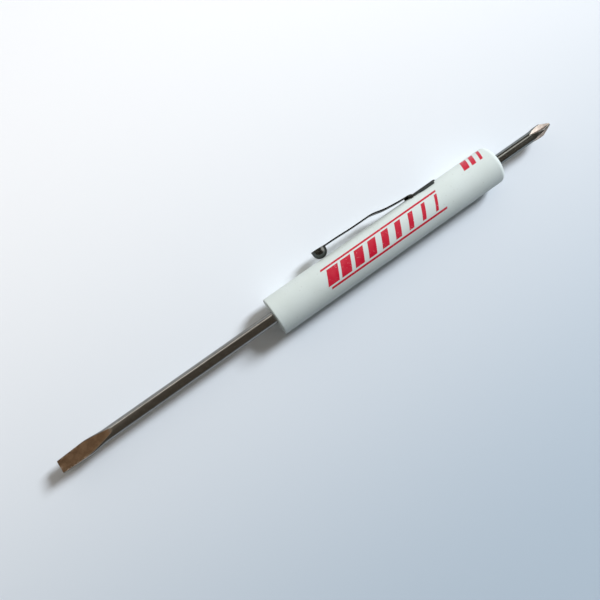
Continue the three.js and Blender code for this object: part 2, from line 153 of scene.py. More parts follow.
class TreeBuilder:
    """Adds nodes to one node tree and links them."""

    def __init__(self, tree: Tree) -> None:
        """Keeps the tree that nodes are added to."""
        self.tree = tree

    @classmethod
    def group(cls, tree_type: str, name: str, inputs: dict[str, Kind], result: str, result_kind: Kind
              ) -> tuple["TreeBuilder", bpy.types.NodeOutputs, Node]:
        """Starts a node group with named inputs and one named output.

        Args:
            tree_type: The type of node tree.
            name: The group's name.
            inputs: The kind of each input, by its name.
            result: The output's name.
            result_kind: The output's kind.

        Returns:
            Its builder, its input sockets and its output node.
        """
        tree = bpy.data.node_groups.new(name, tree_type)
        for label, kind in inputs.items():
            tree.interface.new_socket(name=label, in_out="INPUT", socket_type=kind.value)
        tree.interface.new_socket(name=result, in_out="OUTPUT", socket_type=result_kind.value)
        build = cls(tree)
        return build, build.add("NodeGroupInput").outputs, build.add("NodeGroupOutput")

    def add(self, node_type: str, inputs: dict | None = None, **settings: object) -> Node:
        """Adds one node.

        Args:
            node_type: The node's type name.
            inputs: Values or sockets by input name or number. A socket is linked, a value is set.
            settings: Properties of the node itself.

        Returns:
            The new node.
        """
        node = self.tree.nodes.new(node_type)
        for name, value in settings.items():
            setattr(node, name, value)
        for key, value in (inputs or {}).items():
            self.feed(node.inputs[key], value)
        return node

    def feed(self, socket: Socket, value: object) -> None:
        """Links a socket to another, or sets its value.

        Args:
            socket: The input that gets the value.
            value: A socket to link from, or a plain value.
        """
        if isinstance(value, bpy.types.NodeSocket):
            self.tree.links.new(value, socket)
        else:
            socket.default_value = value

    def math(self, operation: str, first: object, second: object = 0.0) -> Socket:
        """Adds a math node and returns its result."""
        return self.add("ShaderNodeMath", {0: first, 1: second}, operation=operation).outputs[0]

    def times(self, first: object, *factors: object) -> Socket:
        """Multiplies values in the order in which they are given.

        Args:
            first: The first value.
            factors: What it is multiplied by.

        Returns:
            The product.
        """
        for factor in factors:
            first = self.math("MULTIPLY", first, factor)
        return first

    def ramp(self, value: object, span: Span, low: float = 0.0, high: float = 1.0) -> Socket:
        """Maps a value smoothly from one range to another.

        Args:
            value: The socket to map.
            span: The value that becomes low and the one that becomes high.
            low: The result at the span's start and before it.
            high: The result at the span's end and after it.

        Returns:
            The mapped value.
        """
        inputs = {"Value": value, "From Min": span[0], "From Max": span[1], "To Min": low, "To Max": high}
        return self.add("ShaderNodeMapRange", inputs, interpolation_type="SMOOTHSTEP").outputs[0]

    def blend(self, factor: object, first: object, second: object) -> Socket:
        """Mixes two colours, each a socket or three numbers, by a factor and returns the result."""
        first, second = ((*each, 1.0) if isinstance(each, tuple) else each for each in (first, second))
        return self.add("ShaderNodeMix", {0: factor, 6: first, 7: second}, data_type="RGBA").outputs[2]

    def noise(self, vector: object, scale: object, detail: float = 3.0) -> Socket:
        """Adds a noise texture and returns its value."""
        return self.add("ShaderNodeTexNoise", {"Vector": vector, "Scale": scale, "Detail": detail}).outputs[0]

    def stretched(self, vector: object, factors: Direction) -> Socket:
        """Multiplies a vector by three factors."""
        return self.add("ShaderNodeVectorMath", {0: vector, 1: factors}, operation="MULTIPLY").outputs[0]

    def dot(self, vector: object, direction: Direction) -> Socket:
        """How far a vector reaches in a direction."""
        node = self.add("ShaderNodeVectorMath", {0: vector, 1: direction}, operation="DOT_PRODUCT")
        return node.outputs["Value"]

    def bump(self, height: object, distance: float, strength: float) -> Socket:
        """Turns a height into a normal."""
        inputs = {"Height": height, "Distance": distance, "Strength": strength}
        return self.add("ShaderNodeBump", inputs).outputs[0]

    def end_geometry(self, geometry: Socket, finish: Socket, output: Node) -> Tree:
        """Ends a geometry tree with real geometry in one material.

        Args:
            geometry: What the tree has made.
            finish: The material.
            output: The tree's output node.

        Returns:
            The finished tree.
        """
        real = self.add("GeometryNodeRealizeInstances", {0: geometry}).outputs[0]
        dressed = self.add("GeometryNodeSetMaterial", {"Geometry": real, "Material": finish}).outputs[0]
        self.feed(output.inputs[0], dressed)
        return self.tree


def new_material(name: str) -> tuple[TreeBuilder, Material, Node, Socket]:
    """Starts a material.

    Args:
        name: The material's name.

    Returns:
        Its builder, the material, its Principled shader and its Object coordinates.
    """
    material = bpy.data.materials.new(name)
    material.use_nodes = True
    build = TreeBuilder(material.node_tree)
    shader = material.node_tree.nodes["Principled BSDF"]
    return build, material, shader, build.add("ShaderNodeTexCoord").outputs["Object"]


def turned_body_tree() -> Tree:
    """Builds the geometry tree that turns a profile line about an axis along X.

    The profile is a line mesh whose X is the place along the axis and whose Y is the radius there.

    Returns:
        The geometry node tree.
    """
    inputs = {"Profile": Kind.GEOMETRY, "Rings": Kind.COUNT, "Sides": Kind.COUNT, "Axis Height": Kind.NUMBER,
              "Lowest": Kind.NUMBER, "Finish": Kind.FINISH}
    build, given, output = TreeBuilder.group(
        "GeometryNodeTree", "Turned Body", inputs, "Body", Kind.GEOMETRY)
    columns = build.math("ADD", given["Sides"], 1.0)
    grid = build.add("GeometryNodeMeshGrid", {"Vertices X": given["Rings"], "Vertices Y": columns}).outputs[0]
    index = build.add("GeometryNodeInputIndex").outputs[0]
    ring = build.math("FLOOR", build.math("DIVIDE", build.math("ADD", index, 0.5), columns))
    step = build.math("SUBTRACT", index, build.times(ring, columns))
    place = build.add("GeometryNodeInputPosition").outputs[0]
    sampled = {"Geometry": given["Profile"], "Value": place, "Index": ring}
    sample = build.add("GeometryNodeSampleIndex", sampled, data_type="FLOAT_VECTOR").outputs[0]
    along, radius, _ = build.add("ShaderNodeSeparateXYZ", {0: sample}).outputs
    angle = build.math("DIVIDE", build.times(step, math.tau), given["Sides"])
    across = build.times(radius, build.math("COSINE", angle))
    up = build.math("ADD", given["Axis Height"], build.times(radius, build.math("SINE", angle)))
    up = build.math("MAXIMUM", up, given["Lowest"])
    turned = build.add("ShaderNodeCombineXYZ", {0: along, 1: across, 2: up}).outputs[0]
    placed = build.add("GeometryNodeSetPosition", {"Geometry": grid, "Position": turned}).outputs[0]
    merged = build.add("GeometryNodeMergeByDistance", {"Geometry": placed, "Distance": MERGE_DISTANCE})
    return build.end_geometry(merged.outputs[0], given["Finish"], output)


def wrapped_bars_tree() -> Tree:
    """Builds the geometry tree that lays a row of slanted bars of ink round a barrel.

    Returns:
        The geometry node tree.
    """
    numbers = ("Start", "Pitch", "First Length", "Last Length", "Height", "Slant", "Middle Angle",
               "Surface Radius", "Ink Thickness", "Axis Height")
    inputs = {"Geometry": Kind.GEOMETRY, "Count": Kind.COUNT, **dict.fromkeys(numbers, Kind.NUMBER),
              "Finish": Kind.FINISH}
    build, given, output = TreeBuilder.group(
        "GeometryNodeTree", "Wrapped Bars", inputs, "Bars", Kind.GEOMETRY)
    offset = build.add("ShaderNodeCombineXYZ", {0: given["Pitch"]}).outputs[0]
    points = build.add("GeometryNodeMeshLine", {"Count": given["Count"], "Offset": offset}).outputs[0]
    bar = build.add("GeometryNodeMeshCube", BAR_GRID).outputs[0]
    index = build.add("GeometryNodeInputIndex").outputs[0]
    gaps = build.math("MAXIMUM", build.math("SUBTRACT", given["Count"], 1.0), 1.0)
    share = build.math("DIVIDE", index, gaps)
    change = build.math("SUBTRACT", given["Last Length"], given["First Length"])
    length = build.math("ADD", given["First Length"], build.times(share, change))
    scale = build.add("ShaderNodeCombineXYZ", {0: length, 1: 1.0, 2: 1.0}).outputs[0]
    copies = build.add("GeometryNodeInstanceOnPoints", {"Points": points, "Instance": bar, "Scale": scale})
    real = build.add("GeometryNodeRealizeInstances", {0: copies.outputs[0]}).outputs[0]
    place = build.add("GeometryNodeInputPosition").outputs[0]
    x, y, z = build.add("ShaderNodeSeparateXYZ", {0: place}).outputs
    leaned = build.math("ADD", x, build.times(y, given["Slant"]))
    along = build.math("ADD", given["Start"], leaned)
    arc = build.math("DIVIDE", build.times(y, given["Height"]), given["Surface Radius"])
    angle = build.math("ADD", given["Middle Angle"], arc)
    radius = build.math("ADD", given["Surface Radius"], build.times(z, given["Ink Thickness"]))
    across = build.times(radius, build.math("SINE", angle))
    up = build.math("ADD", given["Axis Height"], build.times(radius, build.math("COSINE", angle)))
    wrapped = build.add("ShaderNodeCombineXYZ", {0: along, 1: across, 2: up}).outputs[0]
    placed = build.add("GeometryNodeSetPosition", {"Geometry": real, "Position": wrapped}).outputs[0]
    return build.end_geometry(placed, given["Finish"], output)


def grown(tree: Tree, base: Mesh, values: dict[str, object]) -> Mesh:
    """Runs a geometry tree on a base mesh and bakes what it makes.

    Args:
        tree: The geometry node tree.
        base: The mesh that the tree starts from.
        values: Values for the tree's named inputs.

    Returns:
        A plain mesh.
    """
    carrier = bpy.data.objects.new("carrier", base)
    bpy.context.scene.collection.objects.link(carrier)
    modifier = carrier.modifiers.new(tree.name, "NODES")
    modifier.node_group = tree
    names = {item.name: item.identifier for item in tree.interface.items_tree if item.in_out == "INPUT"}
    for name, value in values.items():
        modifier[names[name]] = value
    return baked(carrier)


def baked(carrier: Piece) -> Mesh:
    """Turns an object and its modifiers into a plain mesh, and removes the object.

    Args:
        carrier: The object whose modifiers are run.

    Returns:
        The mesh that they make.
    """
    bpy.context.view_layer.update()
    graph = bpy.context.evaluated_depsgraph_get()
    mesh = bpy.data.meshes.new_from_object(carrier.evaluated_get(graph))
    bpy.data.objects.remove(carrier)
    return mesh


def line_mesh(points: Points) -> Mesh:
    """A line mesh through points of a plane, as a profile for the turned body tree.

    Args:
        points: The points as (along, radius).

    Returns:
        The line mesh.
    """
    mesh = bpy.data.meshes.new("profile")
    edges = [(here, here + 1) for here in range(len(points) - 1)]
    mesh.from_pydata([(along, radius, 0.0) for along, radius in points], edges, [])
    return mesh


def arc_points(centre: tuple[float, float], radius: float, start: float, end: float, steps: int) -> Points:
    """Points on an arc.

    Args:
        centre: The arc's middle.
        radius: Its radius.
        start: The first point's angle in degrees, from the first axis towards the second.
        end: The last point's angle.
        steps: How many stretches lie between the first and the last point.

    Returns:
        The points in order.
    """
    angles = np.radians(np.linspace(start, end, steps + 1))
    return [(centre[0] + radius * math.cos(a), centre[1] + radius * math.sin(a)) for a in angles]


def smooth_step(value: np.ndarray, start: float, end: float) -> np.ndarray:
    """A smooth rise from 0 at start to 1 at end."""
    share = np.clip((value - start) / (end - start), 0.0, 1.0)
    return share * share * (3.0 - 2.0 * share)


def turn_about_x(points: np.ndarray, degrees: float, height: float) -> np.ndarray:
    """Turns points about an axis along X and lifts them to that axis's height.

    Args:
        points: Points with the axis as their origin across and up.
        degrees: How far they turn.
        height: The axis's height.

    Returns:
        The points in their place.
    """
    angle = math.radians(degrees)
    across = points[..., 1] * math.cos(angle) - points[..., 2] * math.sin(angle)
    up = points[..., 1] * math.sin(angle) + points[..., 2] * math.cos(angle)
    return np.stack([points[..., 0], across, up + height], axis=-1)


def closed_and_smooth(mesh: Mesh, sharp_angle: float = SMOOTH_ANGLE) -> None:
    """Merges doubles, turns faces outwards and shades smooth, with edges past an angle kept sharp.

    Args:
        mesh: The mesh that is changed.
        sharp_angle: The angle in degrees.
    """
    work = bmesh.new()
    work.from_mesh(mesh)
    bmesh.ops.remove_doubles(work, verts=work.verts, dist=MERGE_DISTANCE)
    bmesh.ops.dissolve_degenerate(work, edges=work.edges, dist=MERGE_DISTANCE)
    bmesh.ops.recalc_face_normals(work, faces=work.faces)
    for face in work.faces:
        face.smooth = True
    for edge in work.edges:
        edge.smooth = len(edge.link_faces) == 2 and edge.calc_face_angle(0.0) < math.radians(sharp_angle)
    work.to_mesh(mesh)
    work.free()


def joined(name: str, meshes: list[Mesh]) -> Mesh:
    """Puts several meshes into one.

    Args:
        name: The new mesh's name.
        meshes: The meshes to put together.

    Returns:
        The new mesh.
    """
    work = bmesh.new()
    for mesh in meshes:
        work.from_mesh(mesh)
    whole = bpy.data.meshes.new(name)
    work.to_mesh(whole)
    work.free()
    return whole


def fill_rows(work: bmesh.types.BMesh, rows: list[list[bmesh.types.BMVert]]) -> None:
    """Fills the space between rows of points with quads.

    Args:
        work: The mesh that the quads go into.
        rows: Its points, in rows of equal length.
    """
    for upper, lower in zip(rows[:-1], rows[1:]):
        for here in range(len(upper) - 1):
            work.faces.new((upper[here], upper[here + 1], lower[here + 1], lower[here]))


def piece_of(name: str, mesh: Mesh, material: Material) -> Piece:
    """Makes a finished piece of a mesh, at the origin, in one material.

    Args:
        name: The piece's name.
        mesh: Its mesh, in its place in the frame.
        material: Its material.

    Returns:
        The piece.
    """
    mesh.materials.clear()
    mesh.materials.append(material)
    piece = bpy.data.objects.new(name, mesh)
    bpy.context.scene.collection.objects.link(piece)
    return piece


def lofted_piece(name: str, rings: np.ndarray, masks: dict[str, np.ndarray], sharp_angle: float,
                 finish: Material) -> Piece:
    """A closed piece through rings of points, with masks for its finish.

    Args:
        name: The piece's name.
        rings: Points as rings by points by three.
        masks: Values at each point by the name of the attribute that keeps them.
        sharp_angle: The angle in degrees past which edges stay sharp.
        finish: The piece's material.

    Returns:
        The piece.
    """
    rows, columns, _ = rings.shape
    faces = []
    for first in range(0, (rows - 1) * columns, columns):
        for here in range(columns):
            after = (here + 1) % columns
            faces.append((first + here, first + after, first + columns + after, first + columns + here))
    faces.append(tuple(range(columns - 1, -1, -1)))
    faces.append(tuple(range((rows - 1) * columns, rows * columns)))
    mesh = bpy.data.meshes.new(name)
    mesh.from_pydata(rings.reshape(-1, 3).tolist(), [], faces)
    for mask, values in masks.items():
        attribute = mesh.attributes.new(mask, "FLOAT", "POINT")
        attribute.data.foreach_set("value", values.astype(np.float32).ravel())
    closed_and_smooth(mesh, sharp_angle)
    return piece_of(name, mesh, finish)


@dataclass
class Effects:
    """Shader node groups that several finishes share, each from a vector in millimetres to one number."""

    cloud_detail: float = 5.0
    cloud_span: Span = (0.3, 0.7)
    scratch_bend: float = 9.0
    scratch_detail: float = 2.0
    scratch_detail_scale: float = 0.6
    scratch_span: Span = (0.985, 1.0)
    break_scale: float = 1.7
    break_span: Span = (0.56, 0.66)
    speck_chance: Span = (0.72, 1.0)
    speck_reach: float = 0.22
    line_stretch: Direction = (0.02, 1.0, 1.0)
    line_detail: float = 6.0
    line_span: Span = (0.25, 0.75)

    def __post_init__(self) -> None:
        """Builds each group once."""
        self.mottle = self._mottle()
        self.scratches = self._scratches()
        self.dust = self._dust()
        self.drawn_lines = self._drawn_lines()

    @staticmethod
    def _group(name: str, numbers: tuple[str, ...], result: str
               ) -> tuple[TreeBuilder, bpy.types.NodeOutputs, Node]:
        """Starts a shader group that takes a vector and named numbers and puts out one number."""
        inputs = {"Vector": Kind.VECTOR, **dict.fromkeys(numbers, Kind.NUMBER)}
        return TreeBuilder.group("ShaderNodeTree", name, inputs, result, Kind.NUMBER)

    def _mottle(self) -> Tree:
        """Slow, cloudy variation.

        Returns:
            The shader node group.
        """
        build, given, output = self._group("Mottle", ("Scale",), "Value")
        cloud = build.noise(given["Vector"], given["Scale"], self.cloud_detail)
        build.feed(output.inputs[0], build.ramp(cloud, self.cloud_span))
        return build.tree

    def _scratches(self) -> Tree:
        """Thin broken lines, as on a tool that is carried in a pocket.

        Returns:
            The shader node group.
        """
        build, given, output = self._group("Handling Scratches", ("Scale", "Amount"), "Mask")
        inputs = {"Vector": given["Vector"], "Scale": given["Scale"], "Distortion": self.scratch_bend,
                  "Detail": self.scratch_detail, "Detail Scale": self.scratch_detail_scale}
        wave = build.add("ShaderNodeTexWave", inputs, bands_direction="DIAGONAL").outputs[1]
        line = build.ramp(wave, self.scratch_span)
        finer = build.times(given["Scale"], self.break_scale)
        breaks = build.ramp(build.noise(given["Vector"], finer), self.break_span)
        build.feed(output.inputs[0], build.times(line, breaks, given["Amount"]))
        return build.tree

    def _dust(self) -> Tree:
        """Small specks of different sizes.

        Returns:
            The shader node group.
        """
        build, given, output = self._group("Surface Dust", ("Scale", "Amount"), "Mask")
        cells = build.add("ShaderNodeTexVoronoi", {"Vector": given["Vector"], "Scale": given["Scale"]})
        chance = build.add("ShaderNodeSeparateColor", {0: cells.outputs["Color"]}).outputs[0]
        reach = build.times(build.ramp(chance, self.speck_chance), self.speck_reach)
        speck = build.math("LESS_THAN", cells.outputs["Distance"], reach)
        build.feed(output.inputs[0], build.times(speck, given["Amount"]))
        return build.tree

    def _drawn_lines(self) -> Tree:
        """Fine lines along the vector's X, as drawing or grinding leaves them.

        Returns:
            The shader node group.
        """
        build, given, output = self._group("Drawn Lines", ("Fineness",), "Value")
        long_lines = build.stretched(given["Vector"], self.line_stretch)
        coarse = build.noise(long_lines, given["Fineness"], self.line_detail)
        build.feed(output.inputs[0], build.ramp(coarse, self.line_span))
        return build.tree


@dataclass(frozen=True)
class Wear:
    """Marks on a surface: how many of each kind fit in a millimetre, and how strongly they show."""

    cloud_scale: float
    scratch_scale: float
    scratch_amount: float
    speck_scale: float
    speck_amount: float


class Finish:
    """What the finishes have in common: Object coordinates in millimetres, and marks of wear."""

    @staticmethod
    def start(name: str) -> tuple[TreeBuilder, Material, Node, Socket]:
        """Starts a material whose coordinates are in millimetres."""
        build, material, shader, place = new_material(name)
        return build, material, shader, build.stretched(place, (1 / MM, 1 / MM, 1 / MM))

    @staticmethod
    def effect(build: TreeBuilder, group: Tree, inputs: dict[str, object]) -> Socket:
        """Places a shared group in a material and returns its output."""
        return build.add("ShaderNodeGroup", inputs, node_tree=group).outputs[0]

    def marks(self, build: TreeBuilder, effects: Effects, place: Socket, wear: Wear
              ) -> tuple[Socket, Socket, Socket]:
        """Places the effects of wear in a material.

        Args:
            build: The material's builder.
            effects: The shared groups.
            place: The coordinates in millimetres.
            wear: The scales and amounts of the marks.

        Returns:
            The masks of clouds, scratches and specks.
        """
        scratches = {"Vector": place, "Scale": wear.scratch_scale, "Amount": wear.scratch_amount}
        specks = {"Vector": place, "Scale": wear.speck_scale, "Amount": wear.speck_amount}
        return (
            self.effect(build, effects.mottle, {"Vector": place, "Scale": wear.cloud_scale}),
            self.effect(build, effects.scratches, scratches),
            self.effect(build, effects.dust, specks),
        )


@dataclass(frozen=True)
class GlossyPlastic(Finish):
    """Moulded white plastic, a little worn and dusty."""

    colour: Colour = (0.63, 0.695, 0.675)
    aged: Colour = (0.58, 0.64, 0.605)
    grime: Colour = (0.40, 0.41, 0.38)
    wear: Wear = Wear(
        cloud_scale=0.11, scratch_scale=0.42, scratch_amount=0.6, speck_scale=1.1, speck_amount=0.3)
    aged_share: float = 0.55
    scratch_grime: float = 0.35
    roughness: Span = (0.42, 0.58)
    sheen_scale: float = 0.6
    sheen_detail: float = 4.0
    sheen_span: Span = (0.3, 0.7)
    scratch_roughness: float = 0.3
    peel_scale: float = 0.9
    peel_detail: float = 2.0
    scratch_depth: float = 0.8
    bump_height: float = 0.02 * MM
    bump_strength: float = 0.5
    refraction: float = 1.5

    def material(self, effects: Effects) -> Material:
        """Builds the material.

        Args:
            effects: The shared node groups.

        Returns:
            The material.
        """
        build, material, shader, place = self.start("barrel_plastic")
        cloud, lines, specks = self.marks(build, effects, place, self.wear)
        colour = build.blend(build.times(cloud, self.aged_share), self.colour, self.aged)
        dirt = build.math("MAXIMUM", build.times(lines, self.scratch_grime), specks)
        build.feed(shader.inputs["Base Color"], build.blend(dirt, colour, self.grime))
        sheen = build.noise(place, self.sheen_scale, self.sheen_detail)
        rough = build.ramp(sheen, self.sheen_span, *self.roughness)
        rough = build.math("ADD", rough, build.times(lines, self.scratch_roughness))
        build.feed(shader.inputs["Roughness"], rough)
        peel = build.noise(place, self.peel_scale, self.peel_detail)
        height = build.math("SUBTRACT", peel, build.times(lines, self.scratch_depth))
        build.feed(shader.inputs["Normal"], build.bump(height, self.bump_height, self.bump_strength))
        shader.inputs["IOR"].default_value = self.refraction
        return material


@dataclass(frozen=True)
class PrintInk(Finish):
    """Red pad-printed ink, thin where it is worn."""

    colour: Colour = (0.50, 0.008, 0.032)
    thin: Colour = (0.58, 0.05, 0.08)
    bare: Colour = (0.66, 0.58, 0.58)
    wear: Wear = Wear(
        cloud_scale=0.5, scratch_scale=0.5, scratch_amount=0.55, speck_scale=2.2, speck_amount=0.7)
    thin_share: float = 0.3
    roughness: Span = (0.3, 0.45)
    grain_scale: float = 6.0
    bump_height: float = 0.004 * MM
    bump_strength: float = 0.4

    def material(self, effects: Effects) -> Material:
        """Builds the material.

        Args:
            effects: The shared node groups.

        Returns:
            The material.
        """
        build, material, shader, place = self.start("print_ink")
        cloud, lines, pinholes = self.marks(build, effects, place, self.wear)
        colour = build.blend(build.times(cloud, self.thin_share), self.colour, self.thin)
        worn = build.math("MAXIMUM", lines, pinholes)
        build.feed(shader.inputs["Base Color"], build.blend(worn, colour, self.bare))
        build.feed(shader.inputs["Roughness"], build.ramp(cloud, (0.0, 1.0), *self.roughness))
        grain = build.noise(place, self.grain_scale)
        build.feed(shader.inputs["Normal"], build.bump(grain, self.bump_height, self.bump_strength))
        return material


@dataclass(frozen=True)
class Sheen:
    """One look of steel: its colour, that of its duller patches, and its roughness."""

    colour: Colour
    dull: Colour
    roughness: float


@dataclass(frozen=True)
class BrightSteel(Finish):
    """Plated or spring steel with drawing lines along it and another look where it is ground."""

    name: str
    drawn: Sheen
    ground: Sheen
    dirt: Colour = (0.06, 0.05, 0.04)
    bare: Colour = (0.82, 0.72, 0.60)
    glancing: Colour = (0.32, 0.31, 0.29)
    wear: Wear = Wear(
        cloud_scale=0.8, scratch_scale=0.9, scratch_amount=0.7, speck_scale=2.4, speck_amount=0.6)
    drawn_fineness: float = 7.0
    grit_fineness: float = 11.0
    grit_angle: float = 82.0
    dull_share: float = 0.6
    blotch_scale: float = 0.55
    blotch_detail: float = 6.0
    blotch_span: Span = (0.38, 0.62)
    stain: float = 0.4
    speck_dirt: float = 0.6
    rub_scale: float = 1.6
    rub_detail: float = 5.0
    rub_span: Span = (0.48, 0.62)
    rub_share: float = 0.6
    drawn_roughness: float = 0.1
    grit_roughness: float = 0.2
    scratch_roughness: float = 0.2
    drawn_depth: float = 0.35
    bump_height: float = 0.006 * MM
    bump_strength: float = 0.35

    def material(self, effects: Effects) -> Material:
        """Builds the material, which reads the masks ground and worn from the mesh.

        Args:
            effects: The shared node groups.

        Returns:
            The material.
        """
        build, material, shader, place = self.start(self.name)
        masks = {}
        for name in ("ground", "worn"):
            masks[name] = build.add("ShaderNodeAttribute", attribute_name=name).outputs["Fac"]
        cloud, lines, specks = self.marks(build, effects, place, self.wear)
        drawn = self.effect(build, effects.drawn_lines, {"Vector": place, "Fineness": self.drawn_fineness})
        rotation = (0.0, 0.0, math.radians(self.grit_angle))
        aslant = build.add("ShaderNodeMapping", {"Vector": place, "Rotation": rotation}).outputs[0]
        grit = self.effect(build, effects.drawn_lines, {"Vector": aslant, "Fineness": self.grit_fineness})
        blotches = build.ramp(build.noise(place, self.blotch_scale, self.blotch_detail), self.blotch_span)
        ground_tone = build.blend(blotches, self.ground.colour, self.ground.dull)
        tone = build.blend(build.times(cloud, self.dull_share), self.drawn.colour, self.drawn.dull)
        tone = build.blend(masks["ground"], tone, ground_tone)
        stained = build.times(masks["ground"], build.math("SUBTRACT", 1.0, grit), self.stain)
        dirt = build.math("MAXIMUM", stained, build.times(specks, self.speck_dirt))
        tone = build.blend(dirt, tone, self.dirt)
        rubbing = build.noise(place, self.rub_scale, self.rub_detail)
        rubs = build.times(masks["worn"], build.ramp(rubbing, self.rub_span, 0.0, self.rub_share))
        build.feed(shader.inputs["Base Color"], build.blend(rubs, tone, self.bare))
        plain = build.math("ADD", build.times(drawn, self.drawn_roughness), self.drawn.roughness)
        rubbed = build.math("ADD", build.times(grit, self.grit_roughness), self.ground.roughness)
        share = build.times(masks["ground"], build.math("SUBTRACT", rubbed, plain))
        scratched = build.times(lines, self.scratch_roughness)
        rough = build.math("ADD", build.math("ADD", plain, share), scratched)
        build.feed(shader.inputs["Roughness"], rough)
        grain = build.math("ADD", build.times(drawn, self.drawn_depth), build.times(grit, masks["ground"]))
        height = build.math("SUBTRACT", grain, lines)
        build.feed(shader.inputs["Normal"], build.bump(height, self.bump_height, self.bump_strength))
        shader.inputs["Metallic"].default_value = 1.0
        shader.inputs["Specular Tint"].default_value = (*self.glancing, 1)
        return material


@dataclass
class Barrel:
    """The white moulded barrel, with a hole in each end."""

    places: Places
    tree: Tree
    below_solid: float = 0.02 * MM
    front_edge: float = 0.3 * MM
    back_edge: float = 1.5 * MM
    blade_hole: float = 1.84 * MM
    bit_hole: float = 1.63 * MM
    hole_depth: float = 4.0 * MM
    lip: float = 0.12 * MM
    sides: int = 160
    front_steps: int = 6
    back_steps: int = 16
    lip_steps: int = 4

    @property
    def radius(self) -> float:
        """The radius of the smooth surface, just inside the solid's."""
        return self.places.barrel_radius - self.below_solid

    def profile(self) -> Points:
        """The half section, from the bottom of the blade's hole round to the bottom of the bit's hole.

        Returns:
            Points as (along, radius).
        """
        front, back, lip = self.places.barrel_front, self.places.barrel_back, self.lip
        front_middle = (front + self.front_edge, self.radius - self.front_edge)
        back_middle = (back - self.back_edge, self.radius - self.back_edge)
        return [
            (front + self.hole_depth, 0.0),
            (front + self.hole_depth, self.blade_hole),
            *arc_points((front + lip, self.blade_hole + lip), lip, 270, 180, self.lip_steps),
            *arc_points(front_middle, self.front_edge, 180, 90, self.front_steps),
            *arc_points(back_middle, self.back_edge, 90, 0, self.back_steps),
            *arc_points((back - lip, self.bit_hole + lip), lip, 0, -90, self.lip_steps),
            (back - self.hole_depth, self.bit_hole),
            (back - self.hole_depth, 0.0),
        ]

    def build(self, finish: Material) -> Piece:
        """Turns the barrel and puts it on the handle.

        Args:
            finish: Its material.

        Returns:
            The finished piece.
        """
        points = self.profile()
        values = {"Rings": len(points), "Sides": self.sides, "Axis Height": self.places.axis_height,
                  "Lowest": self.below_solid, "Finish": finish}
        mesh = grown(self.tree, line_mesh(points), values)
        closed_and_smooth(mesh)
        piece = piece_of("barrel_shell", mesh, finish)
        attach(piece, Body.HANDLE.value)
        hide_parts("barrel")
        return piece


@dataclass(frozen=True)
class BarRow:
    """One row of printed bars, in millimetres from the barrel's middle and degrees from its top."""

    count: int
    start: float
    pitch: float
    first_length: float
    last_length: float
    height: float
    slant: float
    middle_angle: float

    def inputs(self) -> dict[str, float]:
        """The row's values for the bars' tree, in metres and radians.

        Returns:
            The values by the names of the tree's inputs.
        """
        lengths = {"Start": self.start, "Pitch": self.pitch, "First Length": self.first_length,
                   "Last Length": self.last_length, "Height": self.height, "Slant": self.slant}
        values = {name: length * MM for name, length in lengths.items()}
        return {"Count": self.count, "Middle Angle": math.radians(self.middle_angle), **values}


@dataclass
class BarrelPrint:
    """A plain printed pattern: graded slanted bars with a stripe on each side, and a small group behind."""

    barrel: Barrel
    tree: Tree
    ink_thickness: float = 0.02 * MM
    rows: tuple[BarRow, ...] = (
        BarRow(count=9, start=-18.6, pitch=4.3, first_length=3.6, last_length=0.9,
               height=4.2, slant=2.1, middle_angle=2.0),
        BarRow(count=1, start=-1.6, pitch=0.0, first_length=38.4, last_length=38.4,
               height=0.6, slant=0.3, middle_angle=32.0),
        BarRow(count=1, start=-1.6, pitch=0.0, first_length=38.4, last_length=38.4,
               height=0.6, slant=0.3, middle_angle=-28.0),
        BarRow(count=3, start=29.0, pitch=2.5, first_length=1.9, last_length=0.9,
               height=4.2, slant=1.3, middle_angle=52.0),
    )

    def build(self, ink: Material) -> Piece:
        """Prints every row and puts the print on the handle.

        Args:
            ink: The ink's material.

        Returns:
            The finished piece.
        """
        shared = {"Surface Radius": self.barrel.radius, "Ink Thickness": self.ink_thickness,
                  "Axis Height": self.barrel.places.axis_height, "Finish": ink}
        meshes = []
        for row in self.rows:
            base = bpy.data.meshes.new("print_base")
            meshes.append(grown(self.tree, base, {**row.inputs(), **shared}))
        mesh = joined("barrel_print", meshes)
        closed_and_smooth(mesh)
        piece = piece_of("barrel_print", mesh, ink)
        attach(piece, Body.HANDLE.value)
        return piece


